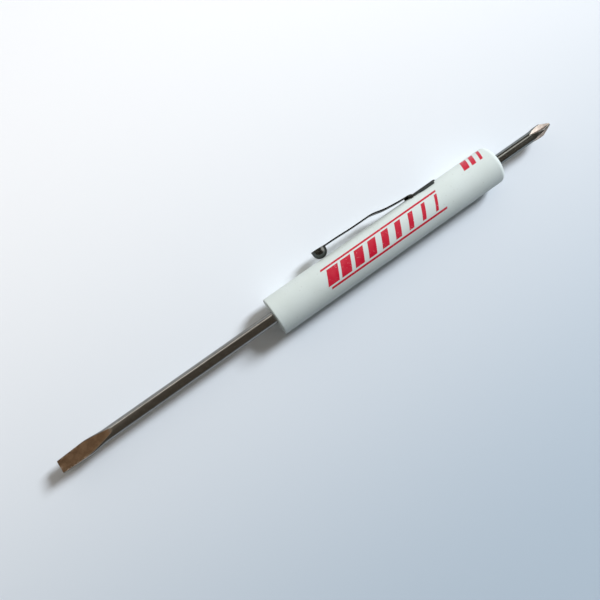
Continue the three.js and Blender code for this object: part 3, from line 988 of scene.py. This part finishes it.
@dataclass
class FlatBlade:
    """The long rod whose end is forged wide and ground flat on both faces."""

    places: Places
    radius: float = 1.75 * MM
    turn: float = -16.0
    tip_width: float = 3.7 * MM
    tip_thickness: float = 0.7 * MM
    widest_width: float = 4.5 * MM
    widest_from_tip: float = 8.0 * MM
    face_length: float = 16.6 * MM
    neck_before_face_end: float = 2.1 * MM
    face_curve_power: float = 1.8
    tip_chamfer: float = 0.06 * MM
    worn_length: float = 0.9 * MM
    flecked_from: float = 5.5 * MM
    flecked_to: float = 10.0 * MM
    ground_share: float = 0.9
    sharp_angle: float = 30.0
    side_points: int = 28
    face_points: int = 14
    face_steps: int = 90

    def width(self, from_tip: np.ndarray) -> np.ndarray:
        """The blade's width, which grows to its widest place and then falls to the rod's.

        Args:
            from_tip: Distances from the tip.

        Returns:
            The width at each distance.
        """
        rising = np.interp(from_tip, [0.0, self.widest_from_tip], [self.tip_width, self.widest_width])
        eased = smooth_step(from_tip, self.widest_from_tip, self.face_length - self.neck_before_face_end)
        falling = self.widest_width + (2 * self.radius - self.widest_width) * eased
        return np.where(from_tip < self.widest_from_tip, rising, falling)

    def thickness(self, from_tip: np.ndarray) -> np.ndarray:
        """The blade's thickness at distances from its tip, which grows along a hollow-ground curve."""
        share = np.minimum(from_tip / self.face_length, 1.0) ** self.face_curve_power
        return self.tip_thickness + (2 * self.radius - self.tip_thickness) * share

    def section(self, width: float, thickness: float) -> np.ndarray:
        """One outline across the blade: two round sides and two flat faces.

        Args:
            width: The width across the round sides.
            thickness: The thickness between the flat faces.

        Returns:
            Points as (across, up).
        """
        edge = math.asin(min(thickness / 2 / self.radius, 1.0))
        angles = np.linspace(-edge, edge, self.side_points)
        side = np.stack([width / 2 * np.cos(angles), self.radius * np.sin(angles)], axis=-1)
        corner = side[-1]
        shares = np.linspace(1.0, -1.0, self.face_points + 2)[1:-1]
        face = np.stack([corner[0] * shares, np.full_like(shares, corner[1])], axis=-1)
        return np.concatenate([side, face, -side, -face])

    def masks(self, stations: np.ndarray) -> dict[str, np.ndarray]:
        """Where the blade is ground and where it is worn.

        Args:
            stations: Distances from the tip of the blade's outlines.

        Returns:
            A value at each point of each outline, by the mask's name.
        """
        half = self.side_points + self.face_points
        on_face, at_corner = np.zeros(2 * half), np.zeros(2 * half)
        for first in (0, half):
            face = first + self.side_points
            on_face[face:first + half] = 1.0
            at_corner[[first - 1, first, face - 1, face]] = 1.0
        ground = 1.0 - smooth_step(stations, self.ground_share * self.face_length, self.face_length)
        at_tip = 1.0 - smooth_step(stations, 0.0, self.worn_length)
        flecked = 1.0 - smooth_step(stations, self.flecked_from, self.flecked_to)
        worn = np.maximum(at_tip[:, None], flecked[:, None] * at_corner[None, :])
        return {"ground": ground[:, None] * on_face[None, :], "worn": worn}

    def build(self, finish: Material) -> Piece:
        """Lofts the blade and puts it on the handle.

        Args:
            finish: Its material.

        Returns:
            The finished piece.
        """
        shares = np.linspace(0.0, 1.0, self.face_steps)
        face = self.tip_chamfer + (self.face_length - self.tip_chamfer) * shares
        tail = self.places.blade_tail - self.places.blade_tip
        stations = np.concatenate([[0.0], face, [tail]])
        widths, thicknesses = self.width(stations), self.thickness(stations)
        widths[0] -= 2 * self.tip_chamfer
        thicknesses[0] -= 2 * self.tip_chamfer
        sections = np.array([self.section(w, t) for w, t in zip(widths, thicknesses)])
        along = np.broadcast_to((self.places.blade_tip + stations)[:, None], sections.shape[:2])
        rings = np.concatenate([along[..., None], sections], axis=-1)
        placed = turn_about_x(rings, self.turn, self.places.axis_height)
        piece = lofted_piece("flat_blade_rod", placed, self.masks(stations), self.sharp_angle, finish)
        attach(piece, Body.HANDLE.value)
        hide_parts("flat_blade")
        return piece


@dataclass
class CrossPointBit:
    """The short rod with four ground flutes at its end."""

    places: Places
    radius: float = 1.55 * MM
    turn: float = -27.0
    point_radius: float = 1.75 * MM
    end_radius: float = 0.35 * MM
    point_half_angle: float = 25.0
    swell_length: float = 4.0 * MM
    swell_ramp: float = 2.2 * MM
    flute_count: int = 4
    flute_length: float = 7.9 * MM
    flute_core: float = 0.35 * MM
    flute_half_angle: float = 52.0
    least_lean: float = 1e-3
    worn_length: float = 2.2 * MM
    sharp_angle: float = 28.0
    sides: int = 240
    point_steps: int = 110

    def turned_radius(self, from_tip: np.ndarray) -> np.ndarray:
        """The rod's radius before the flutes are ground.

        Args:
            from_tip: Distances from the tip.

        Returns:
            The radius at each distance.
        """
        slope = math.tan(math.radians(self.point_half_angle))
        cone = (self.point_radius - self.end_radius) / slope
        swell_end = cone + self.swell_length - self.swell_ramp
        slimmed = smooth_step(from_tip, swell_end, swell_end + self.swell_ramp)
        swell = self.point_radius + (self.radius - self.point_radius) * slimmed
        return np.minimum(self.end_radius + from_tip * slope, swell)

    def fluted_radius(self, from_tip: np.ndarray, angles: np.ndarray) -> np.ndarray:
        """How far the four grinding wheels leave the metal from the axis.

        Args:
            from_tip: Distances from the tip, as a column.
            angles: Directions round the axis, as a row.

        Returns:
            The radius at each place, very large where no wheel reaches.
        """
        sagitta = self.point_radius - self.flute_core
        wheel = (self.flute_length ** 2 + sagitta ** 2) / (2 * sagitta)
        reach = np.minimum(from_tip, wheel)
        core = self.flute_core + wheel - np.sqrt(wheel ** 2 - reach ** 2)
        pitch = math.tau / self.flute_count
        aside = np.abs((angles + pitch / 2) % pitch - pitch / 2)
        lean = np.cos(aside) - np.sin(aside) / math.tan(math.radians(self.flute_half_angle))
        return core / np.maximum(lean, self.least_lean)

    def build(self, finish: Material) -> Piece:
        """Makes the bit and puts it on the handle.

        Args:
            finish: Its material.

        Returns:
            The finished piece.
        """
        tail = self.places.bit_tip - self.places.bit_tail
        point = np.linspace(0.0, self.flute_length + self.swell_ramp, self.point_steps)
        from_tip = np.concatenate([point, [tail]])[:, None]
        angles = np.linspace(0.0, math.tau, self.sides, endpoint=False)[None, :]
        plain = self.turned_radius(from_tip)
        fluted = self.fluted_radius(from_tip, angles)
        radius = np.minimum(plain, fluted)
        along = np.broadcast_to(self.places.bit_tip - from_tip, radius.shape)
        rings = np.stack([along, radius * np.sin(angles), radius * np.cos(angles)], axis=-1)
        worn = np.broadcast_to(1.0 - smooth_step(from_tip, 0.0, self.worn_length), radius.shape)
        masks = {"ground": (fluted < plain).astype(float), "worn": worn}
        placed = turn_about_x(rings, self.turn, self.places.axis_height)
        piece = lofted_piece("cross_point_rod", placed, masks, self.sharp_angle, finish)
        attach(piece, Body.HANDLE.value)
        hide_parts("cross_point_bit")
        return piece


@dataclass
class PocketClip:
    """The stamped spring clip in one piece: saddle, tongue, step, ears, strip and pressed ball.

    Each of the strip's bends is a run from the bend before it and a rise above the strip's root, both in
    millimetres. The ball's lowest value lies far below it, so that no flat is cut off the ball.
    """

    places: Places
    barrel_radius: float
    tree: Tree
    thickness: float = 0.36 * MM
    edge_bevel: float = 0.05 * MM
    bevel_steps: int = 2
    bevel_angle: float = 50.0
    seat_gap: float = 0.02 * MM
    tongue_half: float = 0.9 * MM
    tongue_length: float = 1.0 * MM
    tongue_notch: float = 0.05 * MM
    prong_depth: float = 1.4 * MM
    prong_bend: float = 0.3 * MM
    saddle_length: float = 6.8 * MM
    saddle_half: float = 2.9 * MM
    saddle_waist: float = 2.45 * MM
    saddle_corner: float = 0.7 * MM
    step_length: float = 0.7 * MM
    neck_length: float = 0.36 * MM
    unroll_length: float = 0.6 * MM
    step_height: float = 0.42 * MM
    root_height: float = 0.58 * MM
    ear_length: float = 1.6 * MM
    ear_notch: float = 0.4 * MM
    ear_prong_length: float = 1.1 * MM
    ear_sink: float = 0.35 * MM
    ear_bend: float = 0.22 * MM
    root_half: float = 2.1 * MM
    ball_half: float = 1.6 * MM
    bends: tuple[Span, ...] = (
        (0.9, 0.04), (5.7, 0.62), (5.3, 1.62), (4.5, 1.64), (6.5, 1.88), (3.2, 1.95), (2.2, 2.08))
    flex_length: float = 6.0 * MM
    ball_radius: float = 2.18 * MM
    ball_mouth_radius: float = 1.55 * MM
    ball_mouth_round: float = 0.25 * MM
    ball_gap: float = 0.02 * MM
    ball_fullness: float = 2.3
    ball_tilt: float = -3.4
    ball_reach: float = 2.0 * MM
    rim_overlap: float = 0.06 * MM
    columns: int = 17
    tongue_rows: int = 4
    corner_rows: int = 9
    saddle_rows: int = 24
    step_rows: int = 33
    arm_rows: int = 90
    ear_columns: int = 7
    ear_bend_steps: int = 3
    bend_steps: int = 6
    ball_steps: int = 24
    ball_sides: int = 64
    ball_lowest: float = -1.0

    @property
    def seat(self) -> float:
        """The distance of the saddle's middle surface from the barrel's axis."""
        return self.barrel_radius + self.seat_gap + self.thickness / 2

    @property
    def saddle_rear(self) -> float:
        """Where the saddle's rear edge lies along the barrel."""
        return self.places.clip_rear - self.tongue_length

    @property
    def saddle_front(self) -> float:
        """Where the saddle turns up into the step."""
        return self.saddle_rear - self.saddle_length

    @property
    def base_front(self) -> float:
        """Where the ears end and the free strip starts."""
        return self.saddle_front - self.ear_length

    @property
    def ball_middle(self) -> float:
        """Where the ball's middle lies along the barrel."""
        return self.strip_knots()[-1][0]

    @property
    def strip_end_radius(self) -> float:
        """The radius about the ball's middle that the strip's end follows, just outside the ball's mouth."""
        return self.ball_mouth_radius + self.ball_mouth_round + self.rim_overlap

    def strip_knots(self) -> Points:
        """The bends of the strip's middle line, from saddle to ball.

        Returns:
            Points as (along, out from the axis).
        """
        surface = self.places.barrel_radius
        knots = [(self.saddle_front, self.seat),
                 (self.saddle_front - self.step_length, surface + self.step_height),
                 (self.base_front, surface + self.root_height)]
        along = self.base_front
        for run, rise in self.bends:
            along -= run * MM
            knots.append((along, surface + self.root_height + rise * MM))
        return knots

    @staticmethod
    def eased(knots: Points, along: np.ndarray) -> np.ndarray:
        """A curve through knots without overshoot, at places along it.

        Args:
            knots: (along, out) points, from high along to low.
            along: The places to find.

        Returns:
            The distance out at each place.
        """
        x, y = (np.array(values) for values in zip(*reversed(knots)))
        slopes = np.diff(y) / np.diff(x)
        inner = [0.0 if a * b <= 0 else 2 * a * b / (a + b) for a, b in zip(slopes[:-1], slopes[1:])]
        tangents = np.array([slopes[0], *inner, slopes[-1]])
        place = np.clip(np.searchsorted(x, along) - 1, 0, len(slopes) - 1)
        span = np.diff(x)[place]
        share = (along - x[place]) / span
        start, end = y[place], y[place + 1]
        first, last = tangents[place] * span, tangents[place + 1] * span
        return (start * (1 + 2 * share) * (1 - share) ** 2 + first * share * (1 - share) ** 2
                + end * share ** 2 * (3 - 2 * share) + last * share ** 2 * (share - 1))

    def half_width(self, along: np.ndarray) -> np.ndarray:
        """Half the sheet's width.

        Args:
            along: Places along the sheet.

        Returns:
            The half width at each place.
        """
        corner = self.saddle_rear - self.saddle_corner
        into = np.clip((along - corner) / self.saddle_corner, 0.0, 1.0)
        rounded = self.saddle_half - self.saddle_corner * (1.0 - np.sqrt(1.0 - into ** 2))
        middle = self.saddle_rear - self.saddle_length / 2
        widened = smooth_step(along, self.saddle_front, middle)
        waist = self.saddle_waist + (rounded - self.saddle_waist) * widened
        neck = smooth_step(along, self.saddle_front - self.neck_length, self.saddle_front)
        arm_share = (self.base_front - along) / (self.base_front - self.ball_middle)
        arm = self.root_half + (self.ball_half - self.root_half) * np.clip(arm_share, 0.0, 1.0)
        plate = np.where(along > self.saddle_front, waist, arm + (self.saddle_waist - arm) * neck)
        return np.where(along > self.saddle_rear, self.tongue_half, plate)

    def stations(self) -> tuple[np.ndarray, np.ndarray, np.ndarray]:
        """The rows of the sheet from the tongue's prong to the ball.

        Returns:
            The place along, the distance out from the axis and the half width of each row.
        """
        rear = self.places.clip_rear - self.thickness / 2
        bend_middle = (rear - self.prong_bend, self.seat - self.prong_bend)
        bend = arc_points(bend_middle, self.prong_bend, 0, 90, self.bend_steps)
        prong = [(rear, self.barrel_radius - self.prong_depth), *bend]
        tongue_end = self.saddle_rear + self.tongue_notch
        tongue = np.linspace(rear - self.prong_bend, tongue_end, self.tongue_rows)[1:]
        quarter = np.linspace(0, math.pi / 2, self.corner_rows)
        corner = self.saddle_rear - self.saddle_corner * (1 - np.cos(quarter))
        saddle = np.linspace(corner[-1], self.saddle_front, self.saddle_rows)[1:]
        step = np.linspace(self.saddle_front, self.base_front, self.step_rows)[1:]
        arm = np.linspace(self.base_front, self.ball_middle + self.strip_end_radius, self.arm_rows)[1:]
        flat = np.concatenate([tongue, corner, saddle])
        raised = np.concatenate([step, arm])
        along = np.concatenate([[p[0] for p in prong], flat, raised])
        out = np.concatenate([[p[1] for p in prong], np.full(len(flat), self.seat),
                              self.eased(self.strip_knots(), raised)])
        return along, out, self.half_width(along)

    def ear_bottom(self, along: np.ndarray) -> np.ndarray:
        """How far down an ear reaches: a slanted edge, then its prong.

        Args:
            along: Places along the strip.

        Returns:
            The ear's lower end at each place, as a distance out from the axis.
        """
        heel = self.saddle_front - self.ear_prong_length
        top, seat = self.places.barrel_radius, self.barrel_radius - self.ear_sink
        slanted = np.interp(along, [self.base_front, heel], [top, seat])
        return np.where(along > heel, seat - self.prong_depth, slanted)

    def ear_row(self, work: bmesh.types.BMesh, start: Vector, side: float, bottom: float
                ) -> list[bmesh.types.BMVert]:
        """One row of an ear: a bend at the strip's edge and a straight wall down.

        Args:
            work: The mesh that the points go into.
            start: The strip's edge.
            side: Which way the ear lies across the strip, 1 or -1.
            bottom: Where the wall ends, as a distance out from the axis.

        Returns:
            The new points in order.
        """
        points = []
        for angle in np.radians(np.linspace(0, 90, self.ear_bend_steps + 1))[1:]:
            out = start.y - self.ear_bend * (1 - math.cos(angle))
            points.append((start.x, out, start.z + side * self.ear_bend * math.sin(angle)))
        wall_top = start.y - self.ear_bend
        for share in np.linspace(0.0, 1.0, self.ear_columns)[1:]:
            points.append((start.x, wall_top + (bottom - wall_top) * share, start.z + side * self.ear_bend))
        return [work.verts.new(point) for point in points]

    def sheet(self) -> Mesh:
        """The sheet's middle surface with its two ears, before it gets its thickness.

        Returns:
            The surface as a mesh, with the barrel's axis at height 0.
        """
        along, out, half = self.stations()
        rolled = smooth_step(along, self.saddle_front - self.unroll_length, self.saddle_front)
        across = half[:, None] * np.linspace(-1.0, 1.0, self.columns)[None, :]
        drop = self.seat - np.sqrt(self.seat ** 2 - across ** 2)
        height = out[:, None] - rolled[:, None] * drop
        near_ball = 1.0 - smooth_step(along, along[-1], along[-1] + self.ball_reach)
        end_radius = self.strip_end_radius
        hollowed = end_radius - np.sqrt(np.maximum(end_radius ** 2 - across ** 2, 0.0))
        rows = np.stack([along[:, None] - near_ball[:, None] * hollowed, height, across], axis=-1)
        work = bmesh.new()
        grid = [[work.verts.new(point) for point in row] for row in rows]
        fill_rows(work, grid)
        has_ear = np.nonzero((along <= self.saddle_front - self.ear_notch) & (along >= self.base_front))[0]
        bottoms = self.ear_bottom(along)
        for side, edge in ((1.0, self.columns - 1), (-1.0, 0)):
            ear_rows = []
            for row in has_ear:
                start = grid[row][edge]
                ear_rows.append([start, *self.ear_row(work, start.co, side, bottoms[row])])
            fill_rows(work, ear_rows)
        bmesh.ops.recalc_face_normals(work, faces=work.faces)
        mesh = bpy.data.meshes.new("clip_sheet")
        work.to_mesh(mesh)
        work.free()
        return mesh

    def ball_wall(self, radius: float, depth: float) -> Points:
        """Half a section of one side of the ball's wall, from its bottom up to its widest place.

        Args:
            radius: The wall's radius at the widest place.
            depth: How far its bottom lies under that place.

        Returns:
            Points as (along the ball's axis from the widest place, radius).
        """
        power = 2 / self.ball_fullness
        angles = np.radians(np.linspace(90, 0, self.ball_steps + 1))
        return [(-depth * math.sin(a) ** power, radius * max(math.cos(a), 0.0) ** power) for a in angles]

    def ball(self, finish: Material) -> Mesh:
        """The hollow pressed ball with a flat rim as thick as the strip, set at the end of the strip.

        Args:
            finish: Its material.

        Returns:
            The ball's mesh in its place.
        """
        top = self.strip_knots()[-1][1] + self.thickness / 2
        depth = top - self.barrel_radius - self.ball_gap
        wall, edge, mouth_round = self.thickness, self.edge_bevel, self.ball_mouth_round
        pressed = self.ball_wall(self.ball_radius - edge, depth - wall)
        outer = [(along - wall, radius) for along, radius in pressed]
        rim = [(edge - wall, self.ball_radius), (-edge, self.ball_radius), (0.0, self.ball_radius - edge)]
        mouth_middle = (-mouth_round, self.ball_mouth_radius + mouth_round)
        mouth = arc_points(mouth_middle, mouth_round, 0, -90, self.bend_steps)
        hollow = self.ball_wall(self.ball_mouth_radius, depth - wall - mouth_round)
        inner = [(along - mouth_round, radius) for along, radius in reversed(hollow[:-1])]
        profile = [*outer, *rim, *mouth, *inner]
        values = {"Rings": len(profile), "Sides": self.ball_sides, "Axis Height": 0.0,
                  "Lowest": self.ball_lowest, "Finish": finish}
        mesh = grown(self.tree, line_mesh(profile), values)
        upright = Matrix.Rotation(math.radians(90 + self.ball_tilt), 4, "Z")
        place = Matrix.Translation((self.ball_middle, top, self.places.axis_height))
        mesh.transform(place @ upright)
        return mesh

    def strip(self) -> Mesh:
        """The sheet with its thickness and softened edges, at the height of the barrel's axis.

        Returns:
            The strip's mesh in its place.
        """
        carrier = bpy.data.objects.new("clip_sheet", self.sheet())
        bpy.context.scene.collection.objects.link(carrier)
        wall = carrier.modifiers.new("Wall", "SOLIDIFY")
        wall.thickness = self.thickness
        wall.offset = 0.0
        wall.use_quality_normals = True
        edges = carrier.modifiers.new("Edges", "BEVEL")
        edges.width = self.edge_bevel
        edges.segments = self.bevel_steps
        edges.limit_method = "ANGLE"
        edges.angle_limit = math.radians(self.bevel_angle)
        strip = baked(carrier)
        strip.transform(Matrix.Translation((0.0, 0.0, self.places.axis_height)))
        return strip

    def build(self, finish: Material) -> Piece:
        """Makes the clip in one piece.

        Args:
            finish: Its material.

        Returns:
            The finished piece.
        """
        mesh = joined("pocket_clip", [self.strip(), self.ball(finish)])
        closed_and_smooth(mesh)
        piece = piece_of("pocket_clip", mesh, finish)
        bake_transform(piece)
        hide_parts("clip_base", "clip_arm")
        return piece


@dataclass
class Studio:
    """The floor, the soft light of a window, the room that shiny surfaces mirror, and the camera."""

    places: Places
    focal_pixels: float = 760.0
    view_lean: float = 6.0
    view_roll: float = 35.1
    view_distance: float = 205.4 * MM
    view_along: float = -29.1 * MM
    view_across: float = -0.2 * MM
    floor_size: float = 4.0
    # The floor's own pale tone, and the painted shade that darkens it away from the clip's side
    floor_bright: Colour = (0.99, 0.995, 1.0)
    floor_painted_shade: Colour = (0.44, 0.53, 0.615)
    floor_far: Colour = (0.84, 0.87, 0.89)
    floor_roughness: float = 0.7
    floor_painted_light_way: Direction = (-0.03, 1.0, 0.0)
    floor_painted_shade_span: Span = (-0.12, 0.105)
    floor_far_from: Span = (0.15, 0.42)
    window_way: Direction = (1.15, 0.29, 1.0)
    window_colour: Colour = (0.885, 0.935, 1.0)
    window_power: float = 31.5
    window_distance: float = 1.6
    window_width: float = 0.38
    window_height: float = 0.50
    dim_side: Colour = (0.035, 0.033, 0.03)
    light_side: Colour = (0.82, 0.76, 0.69)
    light_way: Direction = (0.1, 0.8, 0.592)
    light_span: Span = (0.3, 0.95)
    backdrop: Colour = (0.93, 0.95, 0.97)
    dark_walls: Colour = (0.05, 0.047, 0.042)
    walls: Colour = (0.30, 0.31, 0.32)
    walls_span: Span = (-0.3, 0.3)
    ceiling: Colour = (0.125, 0.106, 0.086)
    ceiling_span: Span = (0.1, 0.34)
    warm_ceiling: Colour = (0.42, 0.36, 0.30)
    warm_along: Span = (-0.2, -0.3)
    warm_across: Span = (-0.3, 0.15)
    pane: Colour = (2.1, 1.98, 1.84)
    pane_slope: float = 0.75
    pane_bottom: Span = (0.34, 0.40)
    pane_top: Span = (0.60, 0.52)
    pane_side: Span = (0.2, 0.6)
    glow: Colour = (2.6, 2.46, 2.36)
    glow_way: Direction = (0.83, -0.12, 0.545)
    glow_edge: Span = (0.89, 0.95)

    def axes(self) -> tuple[Vector, Vector, Vector]:
        """The camera's directions, from the photograph's lean and roll.

        Returns:
            Right, up and back.
        """
        lean, roll = math.radians(self.view_lean), math.radians(self.view_roll)
        tool = Vector((math.cos(lean), 0.0, math.sin(lean)))
        clip_side = Vector((0.0, 1.0, 0.0))
        right = math.cos(roll) * tool - math.sin(roll) * clip_side
        up = math.sin(roll) * tool + math.cos(roll) * clip_side
        return right, up, right.cross(up)

    def camera(self) -> None:
        """Sets the camera at the photograph's angle."""
        right, up, back = self.axes()
        target = Vector((self.view_along, self.view_across, self.places.axis_height))
        data = bpy.data.cameras.new("camera")
        data.sensor_width = SENSOR_WIDTH
        data.lens = self.focal_pixels / IMAGE_SIZE * SENSOR_WIDTH
        data.clip_start = NEAREST_SEEN
        camera = bpy.data.objects.new("camera", data)
        turned = Matrix((right, up, back)).transposed().to_4x4()
        camera.matrix_world = Matrix.Translation(target + back * self.view_distance) @ turned
        bpy.context.scene.collection.objects.link(camera)
        bpy.context.scene.camera = camera

    def window(self) -> None:
        """A soft lamp beyond the cross point, a little to the clip's side, that reflections don't show."""
        towards = Vector(self.window_way).normalized()
        data = bpy.data.lights.new("window", "AREA")
        data.shape = "RECTANGLE"
        data.size = self.window_width
        data.size_y = self.window_height
        data.energy = self.window_power
        data.color = self.window_colour
        lamp = bpy.data.objects.new("window", data)
        lamp.visible_glossy = False
        lamp.location = towards * self.window_distance
        lamp.rotation_euler = towards.to_track_quat("Z", "Y").to_euler()
        bpy.context.scene.collection.objects.link(lamp)

    def floor(self) -> None:
        """A pale floor with painted shade: its colour is brighter on the clip's side and darker away from it,
        and of one tone far from the tool.
        """
        half = self.floor_size / 2
        mesh = bpy.data.meshes.new("floor")
        corners = [(-half, -half, 0), (half, -half, 0), (half, half, 0), (-half, half, 0)]
        mesh.from_pydata(corners, [], [(0, 1, 2, 3)])
        build, material, shader, place = new_material("floor")
        # Painted shade: the floor's colour grows darker away from the clip's side, in place of light falling
        # off
        share = build.ramp(build.dot(place, self.floor_painted_light_way), self.floor_painted_shade_span)
        floor_with_painted_shade = build.blend(share, self.floor_painted_shade, self.floor_bright)
        away = build.add("ShaderNodeVectorMath", {0: place}, operation="LENGTH").outputs["Value"]
        far = build.ramp(away, self.floor_far_from)
        build.feed(shader.inputs["Base Color"], build.blend(far, floor_with_painted_shade, self.floor_far))
        shader.inputs["Roughness"].default_value = self.floor_roughness
        floor = piece_of("floor", mesh, material)

    def mirrored_room(self, build: TreeBuilder, way: Socket) -> Socket:
        """The room that shiny surfaces mirror: a dark ceiling, a slanted bright pane and a round glow.

        Args:
            build: The world's builder.
            way: The direction that is looked at.

        Returns:
            The room's colour there.
        """
        along, across, up = build.add("ShaderNodeSeparateXYZ", {0: way}).outputs
        overhead = build.ramp(up, self.ceiling_span)
        round_about = build.blend(build.ramp(across, self.walls_span), self.dark_walls, self.walls)
        room = build.blend(overhead, round_about, self.ceiling)
        warm = build.times(build.ramp(along, self.warm_along), build.ramp(across, self.warm_across), overhead)
        room = build.blend(warm, room, self.warm_ceiling)
        level = build.math("SUBTRACT", up, build.times(along, self.pane_slope))
        between = build.times(build.ramp(level, self.pane_bottom), build.ramp(level, self.pane_top))
        pane = build.times(between, build.ramp(across, self.pane_side))
        room = build.blend(pane, room, self.pane)
        facing = build.dot(way, tuple(Vector(self.glow_way).normalized()))
        return build.blend(build.ramp(facing, self.glow_edge), room, self.glow)

    def surroundings(self) -> None:
        """The world: soft light from the clip's side, the mirrored room, and a pale backdrop."""
        world = bpy.data.worlds.new("room")
        world.use_nodes = True
        bpy.context.scene.world = world
        build = TreeBuilder(world.node_tree)
        background = world.node_tree.nodes["Background"]
        way = build.add("ShaderNodeTexCoord").outputs["Generated"]
        lit = build.ramp(build.dot(way, self.light_way), self.light_span)
        light = build.blend(lit, self.dim_side, self.light_side)
        rays = build.add("ShaderNodeLightPath").outputs
        colour = build.blend(rays["Is Glossy Ray"], light, self.mirrored_room(build, way))
        build.feed(background.inputs["Color"], build.blend(rays["Is Camera Ray"], colour, self.backdrop))

    def build(self) -> None:
        """Sets the whole stage."""
        self.camera()
        self.window()
        self.floor()
        self.surroundings()
        bpy.context.scene.view_settings.view_transform = "Standard"


def main() -> None:
    """Builds every piece in order."""
    logging.basicConfig(level=logging.INFO, format="%(name)s: %(message)s")
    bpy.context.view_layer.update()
    places = Places.from_frame()
    effects = Effects()
    turned = turned_body_tree()
    bars = wrapped_bars_tree()
    plastic = GlossyPlastic().material(effects)
    ink = PrintInk().material(effects)
    shank = BrightSteel(
        "plated_shank",
        drawn=Sheen(colour=(0.35, 0.35, 0.335), dull=(0.255, 0.25, 0.235), roughness=0.11),
        # The brown of the blade's ground faces is partly a real stain and partly a painted warm reflection
        ground=Sheen(colour=(0.42, 0.285, 0.185), dull=(0.30, 0.20, 0.125), roughness=0.28),
    )
    point = BrightSteel(
        "plated_point",
        drawn=Sheen(colour=(0.30, 0.32, 0.315), dull=(0.215, 0.23, 0.225), roughness=0.11),
        ground=Sheen(colour=(0.88, 0.83, 0.79), dull=(0.70, 0.65, 0.61), roughness=0.3),
    )
    spring = BrightSteel(
        "spring_steel",
        drawn=Sheen(colour=(0.115, 0.125, 0.122), dull=(0.085, 0.09, 0.086), roughness=0.2),
        ground=Sheen(colour=(0.115, 0.125, 0.122), dull=(0.085, 0.09, 0.086), roughness=0.3),
    )
    barrel = Barrel(places, turned)
    pieces = [
        barrel.build(plastic),
        BarrelPrint(barrel, bars).build(ink),
        FlatBlade(places).build(shank.material(effects)),
        CrossPointBit(places).build(point.material(effects)),
        PocketClip(places, barrel.radius, turned).build(spring.material(effects)),
    ]
    for piece in pieces:
        LOG.info("%s: %d faces", piece.name, len(piece.data.polygons))
    Studio(places).build()


if __name__ == "__main__":
    main()
